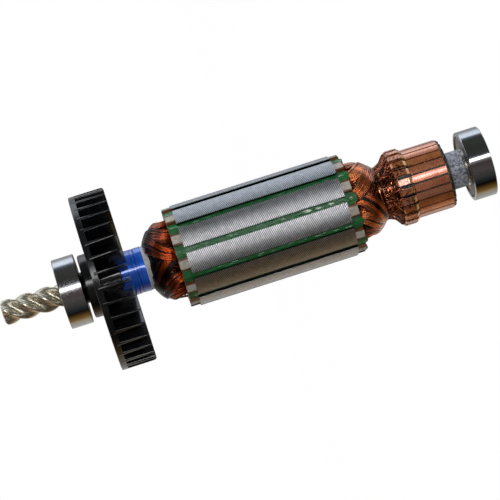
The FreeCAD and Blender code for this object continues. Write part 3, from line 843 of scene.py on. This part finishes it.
@dataclass
class Leads:
    """Doubled wires from the commutator head to the hooks, looped through each hook."""

    head: WindingHead
    bars: int = 24
    first_bar_deg: float = -84.6
    hook_r: float = 11.2
    hook_z: float = 29.1
    wire_r: float = 0.16
    gap_deg: float = 6.3
    turns_deg: tuple[float, float] = (-8.0, 40.0)
    start_rise: float = 9.6
    # Where a wire ends beside its hook, past the hook's height and under its radius
    end_past: float = 0.5
    end_under: float = 0.15
    # A wire turns late in its run, comes up later still, and bows out on its way
    turn_power: float = 1.3
    rise_power: float = 4
    bow: tuple[float, float] = (0.1, 0.4)
    # The pair of wires in a hook: how far apart they lie, outwards and along, and their stops across it
    pair_out: float = 0.12
    pair_along: float = 0.2
    stops: tuple[float, ...] = (-0.95, -0.5, 0.5, 0.95)
    shades: tuple[float, ...] = (0.0, 0.5, 0.9)
    points: int = 14
    seed: int = 5

    def side(self, bar: int, way: int, turn_deg: float, rng: np.random.Generator) -> np.ndarray:
        """Lay a wire from the head to one side of a hook, ending in the gap beside it.

        Args:
            bar: Number of the bar.
            way: Side of the hook, -1 or 1.
            turn_deg: How far round the shaft the wire starts from its hook.
            rng: Source of the small differences between wires.

        Returns:
            The points in millimetres.
        """
        t = np.linspace(0, 1, self.points)
        centre = self.first_bar_deg + bar * 360 / self.bars + way * self.gap_deg
        angle = np.radians(centre + way * turn_deg * (1 - t ** self.turn_power))
        start = self.head.foot() - self.start_rise
        z = start + (self.hook_z + self.end_past - start) * t
        under = np.interp(self.head.foot() - z, self.head.rises, self.head.radii)
        late = t ** self.rise_power
        radius = under * (1 - late) + (self.hook_r - self.end_under) * late
        return about_shaft(radius + rng.uniform(*self.bow) * np.sin(np.pi * t), angle, z)

    def build(self) -> Piece:
        """Build all leads as one piece.

        Returns:
            The piece.
        """
        rng = np.random.default_rng(self.seed)
        paths, shades = [], []
        for bar in range(self.bars):
            hook = math.radians(self.first_bar_deg + bar * 360 / self.bars)
            out = np.array([math.cos(hook), math.sin(hook), 0.0])
            turn = np.array([-math.sin(hook), math.cos(hook), 0.0])
            for twin in (-1, 1):
                middle = out * (self.hook_r + self.pair_out * twin)
                middle += np.array([0, 0, self.hook_z - self.pair_along * twin])
                through = np.stack([middle + turn * stop for stop in self.stops])
                before = self.side(bar, -1, rng.uniform(*self.turns_deg), rng)
                after = self.side(bar, 1, rng.uniform(*self.turns_deg), rng)
                paths.append(np.concatenate([before, through, after[::-1]]))
                shades.append(np.full(len(paths[-1]), rng.choice(self.shades)))
        piece = wire_piece("commutator_leads", paths, self.wire_r, LEAD_ENAMEL.make(), shades)
        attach(piece, "rotor")
        return piece


@dataclass
class Sleeve:
    """The blue film sleeve with its creases, which stands for the plain tube."""

    wall: float = 0.2
    steps: int = 96
    rings: int = 90
    # A crease's depth for each millimetre of its width, how far it wanders and how wide it is pressed in
    crease_depth: float = 0.6
    crease_wander: float = 0.2
    crease_width: float = 0.16
    # Soft waves over the film: how many, how deep, and their turns round and along the shaft
    waves: int = 5
    ripple: float = 0.025
    turns_round: tuple[int, int] = (1, 5)
    turns_along: tuple[float, float] = (1.5, 5)
    # Share of the wall that the film may be pressed in at most
    deepest: float = 0.9
    seed: int = 17

    def build(self) -> Piece:
        """Build the sleeve between its solid's ends.

        Returns:
            The sleeve.
        """
        low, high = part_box("sleeve")
        outer = high.x / MM
        heights = np.linspace(low.z / MM, high.z / MM, self.rings)
        outline = [(outer, z) for z in heights]
        outline += [(outer - self.wall, heights[-1]), (outer - self.wall, heights[0])]
        vertices, faces = lathe(outline, self.steps)
        x, y, z = vertices.T
        angle, radius = np.arctan2(y, x), np.hypot(x, y)
        rng = np.random.default_rng(self.seed)
        sunk = np.zeros(len(vertices))
        for place, width in CREASES_MM:
            wander = self.crease_wander * np.sin(angle * rng.integers(1, 3) + rng.uniform(*PHASES))
            off = (z - place - wander) / self.crease_width
            sunk += self.crease_depth * width * np.exp(-off ** 2)
        for _ in range(self.waves):
            wave = np.sin(angle * rng.integers(*self.turns_round) + z * rng.uniform(*self.turns_along)
                          + rng.uniform(*PHASES))
            sunk += self.ripple * (1 + wave) / 2
        shown = radius > outer - self.wall / 2
        share = np.where(shown, 1 - np.minimum(sunk, self.wall * self.deepest) / radius, 1.0)
        vertices[:, :2] *= share[:, None]
        piece = new_object("blue_sleeve", vertices, faces, BLUE_FILM.make())
        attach(piece, "rotor")
        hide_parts("sleeve")
        return piece


@dataclass
class VarnishDrops:
    """Drops of varnish left along the middle of each slot wedge."""

    wedges: int = 12
    first_wedge_deg: float = -84.5
    drops_each: int = 46
    crown_r: float = 14.95
    crown_fall: float = 0.08
    # How far a drop's foot lies under the wedge's face
    sunk: float = 0.02
    half_width: float = 0.8
    z_range: tuple[float, float] = (45.0, 100.4)
    sizes: tuple[float, float] = (0.18, 0.5)
    # Length of a drop along the shaft, for each millimetre of its width
    lengths: tuple[float, float] = (0.9, 3.2)
    sides: int = 8
    # Rings of a drop: how wide, as a share of its size, and how high, as a share of its height
    rings: tuple[tuple[float, float], ...] = ((1.0, 0.0), (0.8, 0.45), (0.45, 0.8))
    # That height, and how high the top point lies, as shares of the size
    height: float = 0.55
    top: float = 0.5
    seed: int = 31

    def drop(self, across: float, along: float, size: float, length: float) -> np.ndarray:
        """Shape one flattened drop on the wedge at angle 0.

        Args:
            across: Place across the wedge, in millimetres.
            along: Height along the shaft, in millimetres.
            size: Half width of the drop.
            length: Half length of the drop along the shaft.

        Returns:
            The points of its rings, one ring after another, and the top point.
        """
        turns = np.arange(self.sides) * FULL_TURN / self.sides
        base = self.crown_r - self.crown_fall * across ** 2 - self.sunk
        points = []
        for share, rise in self.rings:
            x = np.full(self.sides, base + rise * size * self.height)
            y = across + size * share * np.cos(turns)
            points.append(np.stack([x, y, along + length * share * np.sin(turns)], -1))
        return np.concatenate(points + [[[base + size * self.top, across, along]]])

    def build(self) -> Piece:
        """Build the drops of all wedges as one piece.

        Returns:
            The piece.
        """
        rng = np.random.default_rng(self.seed)
        vertices, faces, start = [], [], 0
        for wedge in range(self.wedges):
            for _ in range(self.drops_each):
                size = rng.uniform(*self.sizes)
                along = rng.uniform(*self.z_range)
                points = self.drop(rng.uniform(-self.half_width, self.half_width), along, size,
                                   size * rng.uniform(*self.lengths))
                vertices.append(turned_by(points, self.first_wedge_deg + wedge * 360 / self.wedges))
                faces += bands(self.sides, len(self.rings), start)
                top = start + len(points) - 1
                last = top - self.sides
                faces += [(last + j, last + (j + 1) % self.sides, top) for j in range(self.sides)]
                start = top + 1
        piece = new_object("varnish_drops", np.concatenate(vertices), faces, VARNISH_DROP.make())
        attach(piece, "rotor")
        return piece


@dataclass
class Fan:
    """The fan moulding with rounded edges: disc, hub, collar and tapered blades."""

    disc_r: float = 27.7
    hub_r: float = 8.5
    collar_r: float = 10.0
    bore_r: float = 4.95
    collar_length: float = 2.9
    disc: float = 2.0
    hub_length: float = 6.6
    steps: int = 180
    # Rounding of the corners, from the bore's lower end outwards and up to its upper end
    edges: tuple[float, ...] = (0.0, 0.5, 0.6, 0.15, 0.35, 0.5, 0.7, 0.3)
    blades: int = 36
    first_blade_deg: float = -93.9
    blade_length: float = 9.2
    blade_root: float = 1.3
    blade_tip: float = 0.45
    thinnest: float = 0.03
    tip_steps: int = 6
    blade_inner_r: float = 14.0
    corner: float = 0.8
    # The blade's outer corner: shares of its radius that are left, and how far the section is drawn in there
    corner_shares: tuple[float, ...] = (1.0, 0.6, 0.3, 0.12, 0.0)
    corner_insets: tuple[float, ...] = (0.0, 0.0, 0.15, 0.45, 1.0)
    edge: float = 0.18
    crease_deg: float = 50

    def body(self, top: float) -> tuple[np.ndarray, Faces]:
        """Turn disc, hub and collar as one form.

        Args:
            top: Height of the collar's upper face.

        Returns:
            The vertices and the faces.
        """
        collar = top - self.collar_length
        under = collar - self.disc
        hub = under - self.hub_length
        corners = [(self.bore_r, hub), (self.hub_r, hub), (self.hub_r, under), (self.disc_r, under),
                   (self.disc_r, collar), (self.collar_r, collar), (self.collar_r, top), (self.bore_r, top)]
        return lathe(rounded_outline(corners, self.edges), self.steps)

    def blade_outline(self, root: float, tip: float, inset: float) -> Outline:
        """Draw the section of a blade across its thickness.

        Args:
            root: Height inside the disc where the blade ends.
            tip: Height of the free end.
            inset: How far the section is drawn in, for the rounded outer edge.

        Returns:
            Points as thickness and height.
        """
        thick = self.blade_root / 2 - inset
        thin = max(self.blade_tip / 2 - inset, self.thinnest)
        points = [(-thick, root), (thick, root)]
        for step in range(self.tip_steps + 1):
            a = math.pi * step / self.tip_steps
            points.append((thin * math.cos(a), tip + inset + thin - thin * math.sin(a)))
        return points

    def blade(self, top: float) -> tuple[np.ndarray, Faces]:
        """Build one blade on the +X side.

        Args:
            top: Height of the collar's upper face.

        Returns:
            The vertices and the faces.
        """
        under = top - self.collar_length - self.disc
        tip = under - self.blade_length
        stations = [(self.blade_inner_r, 0.0)]
        stations += [(self.disc_r - self.corner * share, self.edge * inset)
                     for share, inset in zip(self.corner_shares, self.corner_insets)]
        points = []
        for x, inset in stations:
            over = max(x - (self.disc_r - self.corner), 0.0)
            lift = self.corner - math.sqrt(max(self.corner ** 2 - over ** 2, 0.0))
            outline = self.blade_outline(under + self.disc / 2, tip + lift, inset)
            points += [(x, y, z) for y, z in outline]
        count = len(outline)
        faces = [tuple(range(count))[::-1], tuple(range(len(points) - count, len(points)))]
        return np.array(points), faces + bands(count, len(stations))

    def build(self) -> Piece:
        """Build the fan, which stands for its plain solid.

        Returns:
            The fan.
        """
        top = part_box("fan")[1].z / MM
        vertices, faces = self.body(top)
        blade, blade_faces = self.blade(top)
        parts, start = [vertices], len(vertices)
        for i in range(self.blades):
            parts.append(turned_by(blade, self.first_blade_deg + i * 360 / self.blades))
            faces = faces + [tuple(start + c for c in face) for face in blade_faces]
            start += len(blade)
        piece = new_object("fan_moulding", np.concatenate(parts), faces, FAN_NYLON.make())
        crease = piece.modifiers.new("crease", "EDGE_SPLIT")
        crease.split_angle = math.radians(self.crease_deg)
        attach(piece, "rotor")
        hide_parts("fan")
        return piece


class Surround:
    """What bright metal sees round the shaft: soft light above, a dim room in front, a warm table below."""

    # Angle round the shaft from the front, downwards in the picture; colour; strength
    BANDS = ((-180, "#d8d8d6", 0.6), (-140, "#e2e6ea", 0.6), (-122, "#e4ecf6", 1.7), (-106, "#dfe8f4", 2.1),
             (-98, "#76828c", 0.95), (-88, "#525656", 0.85), (-70, "#54564f", 0.85), (-50, "#4a4b46", 0.9),
             (-26, "#50524e", 0.9), (-18, "#8c8a94", 1.1), (-16, "#ffffff", 8.4), (-10.5, "#ffffff", 8.4),
             (-8, "#b0a8a8", 1.2), (2, "#5c5250", 1.0), (26, "#625c58", 1.05), (48, "#4c4c4a", 1.0),
             (62, "#3c3e40", 0.7), (76, "#161613", 0.5), (84, "#5c431c", 0.8), (104, "#a0783c", 1.0),
             (118, "#c8b89c", 1.1), (138, "#d8d6d0", 0.9))
    # Even light that all but bright metal sees
    FILL = srgb("#e6e8ec", 0.4)
    # How far the bright strip reaches along the shaft, as the z of a direction, and what is left past it
    STRIP_END = (0.5, 0.8)
    PAST_STRIP = srgb("#ffffff", 3.0)

    def bands(self, tree: Tree) -> Feed:
        """Build the bands.

        Args:
            tree: The world's node tree.

        Returns:
            The colour that bright metal sees in each direction.
        """
        where = add_node(tree, "ShaderNodeTexCoord").outputs["Generated"]
        x, y, z = add_node(tree, "ShaderNodeSeparateXYZ", {0: where}).outputs
        down = add_node(tree, MATHS, {0: x, 1: -1.0, "operation": "MULTIPLY"})
        front = add_node(tree, MATHS, {0: y, 1: -1.0, "operation": "MULTIPLY"})
        angle = add_node(tree, MATHS, {0: down, 1: front, "operation": "ARCTAN2"})
        share = add_node(tree, MATHS, {0: angle, 1: 1 / FULL_TURN, 2: 0.5, "operation": "MULTIPLY_ADD"})
        ramp = add_node(tree, "ShaderNodeValToRGB", {0: share})
        elements = ramp.color_ramp.elements
        for index, (degrees, colour, strength) in enumerate(self.BANDS):
            place = degrees / 360 + 0.5
            # A new ramp has two elements already
            element = elements[index] if index < 2 else elements.new(place)
            element.position = place
            element.color = srgb(colour, strength)
        tilt = add_node(tree, MATHS, {0: z, "operation": "ABSOLUTE"})
        low, high = self.STRIP_END
        past = add_node(tree, STRETCH, {"Value": tilt, "From Min": low, "From Max": high})
        return add_node(tree, MIX, {"Fac": past, "Color1": ramp, "Color2": self.PAST_STRIP,
                                    "blend_type": "DARKEN"})

    def build(self) -> None:
        """Set the world: white to the camera, bands to bright metal, an even fill to all else."""
        world = bpy.data.worlds.new("studio")
        bpy.context.scene.world = world
        world.use_nodes = True
        tree = world.node_tree
        tree.nodes.clear()
        ray = add_node(tree, "ShaderNodeLightPath").outputs
        shiny = add_node(tree, MATHS, {0: ray["Is Glossy Ray"], 1: ray["Is Transmission Ray"],
                                       "operation": "MAXIMUM"})
        seen = add_node(tree, MIX, {"Fac": shiny, "Color1": self.FILL, "Color2": self.bands(tree)})
        final = add_node(tree, MIX, {"Fac": ray["Is Camera Ray"], "Color1": seen, "Color2": srgb("#ffffff")})
        background = add_node(tree, "ShaderNodeBackground", {"Color": final, "Strength": 1.0})
        add_node(tree, "ShaderNodeOutputWorld", {"Surface": background})


@dataclass(frozen=True)
class Softbox:
    """A rectangular lamp that faces the armature."""

    name: str
    place: tuple[float, float, float]
    target: tuple[float, float, float]
    along: float
    across: float
    watts: float
    colour: str

    def build(self) -> Piece:
        """Hang the lamp with its long side along the shaft.

        Returns:
            The lamp.
        """
        data = bpy.data.lights.new(self.name, "AREA")
        data.shape = "RECTANGLE"
        data.size = self.across
        data.size_y = self.along
        data.energy = self.watts
        data.color = srgb(self.colour)[:3]
        lamp = bpy.data.objects.new(self.name, data)
        back = (Vector(self.place) - Vector(self.target)).normalized()
        side = Vector((0, 0, 1)).cross(back).normalized()
        turn = Matrix((side, back.cross(side), back)).transposed().to_4x4()
        lamp.visible_glossy = False
        lamp.matrix_world = Matrix.Translation(self.place) @ turn
        bpy.context.scene.collection.objects.link(lamp)
        return lamp


@dataclass(frozen=True)
class Studio:
    """Floor, surround, lamps and the camera of the photograph."""

    lens_mm: float = 147.6
    sensor_mm: float = 36.0
    distance: float = 0.6304
    height: float = 0.1155
    yaw_deg: float = 3.379
    pitch_deg: float = 0.398
    roll_deg: float = 17.63
    floor_size: float = 2.4
    # The floor shines white to the camera, but for a share that keeps the shadow
    floor_glow: float = 1.06
    floor_white: float = 0.92
    # What the lamps face
    middle: tuple[float, float, float] = (0.0, 0.0, 0.08)

    def camera(self) -> None:
        """Place the camera: it looks across the shaft and is rolled so that the pinion points left."""
        yaw, pitch, roll = (math.radians(a) for a in (self.yaw_deg, self.pitch_deg, self.roll_deg))
        along, away, above = Vector((0, 0, -1)), Vector((0, 1, 0)), Vector((1, 0, 0))
        forward = math.cos(yaw) * away + math.sin(yaw) * along
        right = math.cos(yaw) * along - math.sin(yaw) * away
        look = forward * math.cos(pitch) - above * math.sin(pitch)
        up = above * math.cos(pitch) + forward * math.sin(pitch)
        picture_right = math.cos(roll) * right - math.sin(roll) * up
        picture_up = math.sin(roll) * right + math.cos(roll) * up
        data = bpy.data.cameras.new("camera")
        data.lens = self.lens_mm
        data.sensor_width = self.sensor_mm
        data.clip_start, data.clip_end = 0.01, 20.0
        camera = bpy.data.objects.new("camera", data)
        turn = Matrix((picture_right, picture_up, -look)).transposed().to_4x4()
        camera.matrix_world = Matrix.Translation((0, -self.distance, self.height)) @ turn
        bpy.context.scene.collection.objects.link(camera)
        bpy.context.scene.camera = camera

    def floor(self) -> None:
        """Lay the pale floor, which shows white to the camera and keeps a faint shadow."""
        half = self.floor_size / 2 / MM
        corners = np.array([(-half, -half, 0), (half, -half, 0), (half, half, 0), (-half, half, 0)], float)
        material = bpy.data.materials.new("white_paper_sweep")
        material.use_nodes = True
        tree = material.node_tree
        tree.nodes.clear()
        ray = add_node(tree, "ShaderNodeLightPath").outputs
        paper = add_node(tree, "ShaderNodeBsdfDiffuse", {"Color": srgb("#e4e4e4")})
        white = add_node(tree, "ShaderNodeEmission", {"Color": srgb("#ffffff"), "Strength": self.floor_glow})
        clear = add_node(tree, "ShaderNodeBsdfTransparent")
        share = add_node(tree, MATHS, {0: ray["Is Camera Ray"], 1: self.floor_white,
                                       "operation": "MULTIPLY"})
        lit = add_node(tree, "ShaderNodeMixShader", {0: share, 1: paper, 2: white})
        shown = add_node(tree, "ShaderNodeMixShader", {0: ray["Is Glossy Ray"], 1: lit, 2: clear})
        add_node(tree, "ShaderNodeOutputMaterial", {"Surface": shown})
        plane = new_object("floor", corners, [(0, 1, 2, 3)], material, smooth=False)

    def build(self) -> None:
        """Build the camera, the floor, the surround and the lamps."""
        self.camera()
        self.floor()
        Surround().build()
        Softbox("top_softbox", (0.5, -0.06, 0.1), self.middle, along=0.7, across=0.18, watts=2.4,
                colour="#eef4ff").build()
        Softbox("front_softbox", (0.12, -0.62, 0.1), self.middle, along=0.3, across=0.05, watts=1.3,
                colour="#fff8f0").build()
        bpy.context.scene.view_settings.view_transform = "Standard"


class Dresser:
    """Gives each carried-over node its finish."""

    PLAIN = {"shaft": SHAFT_STEEL, "shaft_insulation_tube": SPECKLED_MOULDING,
             "core": CORE_STEEL, "drive_end_plate": END_FIBRE, "commutator_end_plate": END_FIBRE,
             "slot_liners": SLOT_PAPER, "slot_conductors": DARK_ENAMEL, "commutator_body": PHENOLIC}
    BEARING = {"outer_ring": BEARING_STEEL, "inner_ring": BEARING_STEEL, "balls": BEARING_STEEL,
               "cage": CAGE_NYLON, "lower_shield": SHIELD_STEEL, "upper_shield": SHIELD_STEEL}
    # Seed of the choice of a shade for each bar
    BAR_SEED = 7

    def __init__(self, nodes: dict[str, Piece]) -> None:
        """Keep the frame's nodes.

        Args:
            nodes: Objects by node name.
        """
        self.nodes = nodes
        self.made: dict[str, Material] = {}

    def put(self, node: str, material: Material) -> None:
        """Put a material in every slot of a node.

        Args:
            node: Name of the node.
            material: Its finish.
        """
        piece = self.nodes[node]
        if not piece.material_slots:
            piece.data.materials.append(material)
        for slot in piece.material_slots:
            slot.material = material
        LOG.info("%s has the finish %s", node, material.name)

    def finish(self, finish: Finish) -> Material:
        """Find the material of a finish, which is made once.

        Args:
            finish: The finish.

        Returns:
            Its material.
        """
        if finish.name not in self.made:
            self.made[finish.name] = finish.make()
        return self.made[finish.name]

    def dress(self) -> None:
        """Dress all nodes."""
        for node, finish in self.PLAIN.items():
            self.put(node, self.finish(finish))
        for bearing in ("drive_bearing", "commutator_bearing"):
            for part, finish in self.BEARING.items():
                self.put(f"{bearing}_{part}", self.finish(finish))
        self.put("commutator_bearing_outer_ring", self.finish(LAPPED_STEEL))
        coppers = BarCopper().finishes()
        draw = random.Random(self.BAR_SEED)
        for node in sorted(self.nodes):
            if node.startswith("slot_wedge"):
                self.put(node, self.finish(WEDGE_VARNISH))
            elif node.startswith("commutator_bar"):
                self.put(node, draw.choice(coppers))


def main() -> None:
    """Build the scene around the frame."""
    logging.basicConfig(level=logging.INFO, format="%(message)s")
    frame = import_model()
    Studio().build()
    Dresser(frame["nodes"]).dress()
    drive_head = WindingHead(
        "drive_head", "drive_winding_head", 1, (0.0, 1.9, 3.6, 4.6, 5.5, 6.4, 7.3, 7.9, 8.3, 8.7),
        (13.0, 12.8, 12.6, 12.3, 11.8, 10.9, 9.9, 9.2, 8.3, 7.7), DARK_ENAMEL, painted_climb_shade=1.1, seed=11)
    rear_head = WindingHead(
        "commutator_head", "commutator_winding_head", -1,
        (0.0, 1.3, 2.3, 4.1, 6.0, 7.0, 7.9, 8.8, 9.7, 10.7, 12.1, 12.9, 13.5, 13.8),
        (13.2, 13.1, 12.8, 12.4, 11.6, 10.9, 9.9, 8.9, 8.2, 8.3, 8.8, 9.8, 10.9, 11.2), BRIGHT_ENAMEL,
        painted_climb_shade=0.25, seed=23, top_share=0.6, neck_reach=0.45)
    pieces = drive_head.build() + rear_head.build()
    for part in (Waist(rear_head), Leads(rear_head), Sleeve(), VarnishDrops(), Fan()):
        pieces.append(part.build())
    for piece in pieces:
        LOG.info("%s: %d faces", piece.name, len(piece.data.polygons))


if __name__ == "__main__":
    main()
